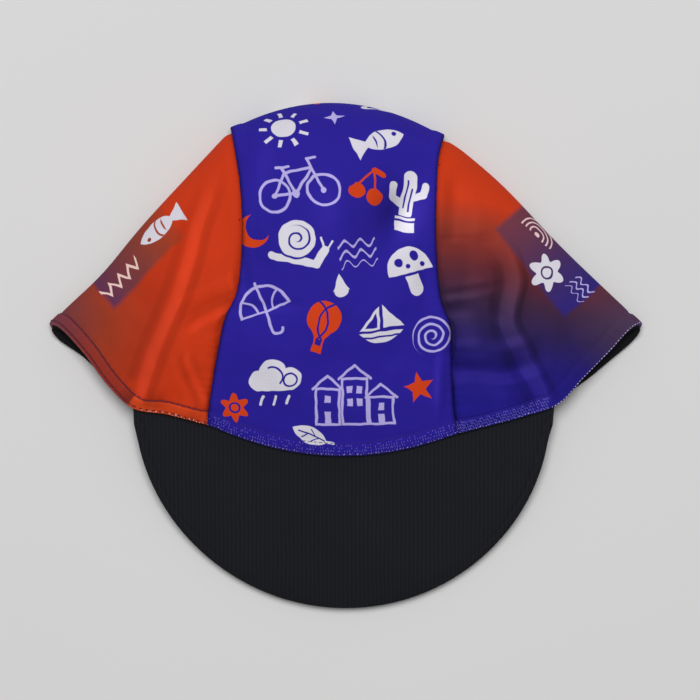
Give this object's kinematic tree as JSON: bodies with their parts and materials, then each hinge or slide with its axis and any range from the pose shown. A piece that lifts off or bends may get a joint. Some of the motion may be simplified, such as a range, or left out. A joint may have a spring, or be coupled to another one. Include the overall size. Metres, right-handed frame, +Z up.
{
  "type": "cycling cap",
  "caption": "Soft three-panel knitted cap with a short rounded peak and a dark sweatband, lying flat on its back with the front up.",
  "frame": {"origin": "middle of the underside of the cap as it lies", "axes": "+X across the cap from the wearer's right ear to the left ear as seen from the front, +Y from the peak toward the top of the crown, +Z up from the surface that it lies on"},
  "size_m": [0.2474, 0.2106, 0.0342],
  "materials": {
    "centre_cloth": "fine vertically ribbed sports knit, printed, blue ground",
    "left_cloth": "fine vertically ribbed sports knit, printed, orange to purple",
    "right_cloth": "fine vertically ribbed sports knit, printed, orange to blue",
    "peak_cloth": "near-black knit with fine raised ribs along the peak",
    "band_cloth": "near-black soft woven band"
  },
  "bodies": {
    "root": {"centre_panel": "centre_cloth", "left_side_panel": "left_cloth", "right_side_panel": "right_cloth", "peak": "peak_cloth", "sweatband": "band_cloth"}
  },
  "joints": []
}
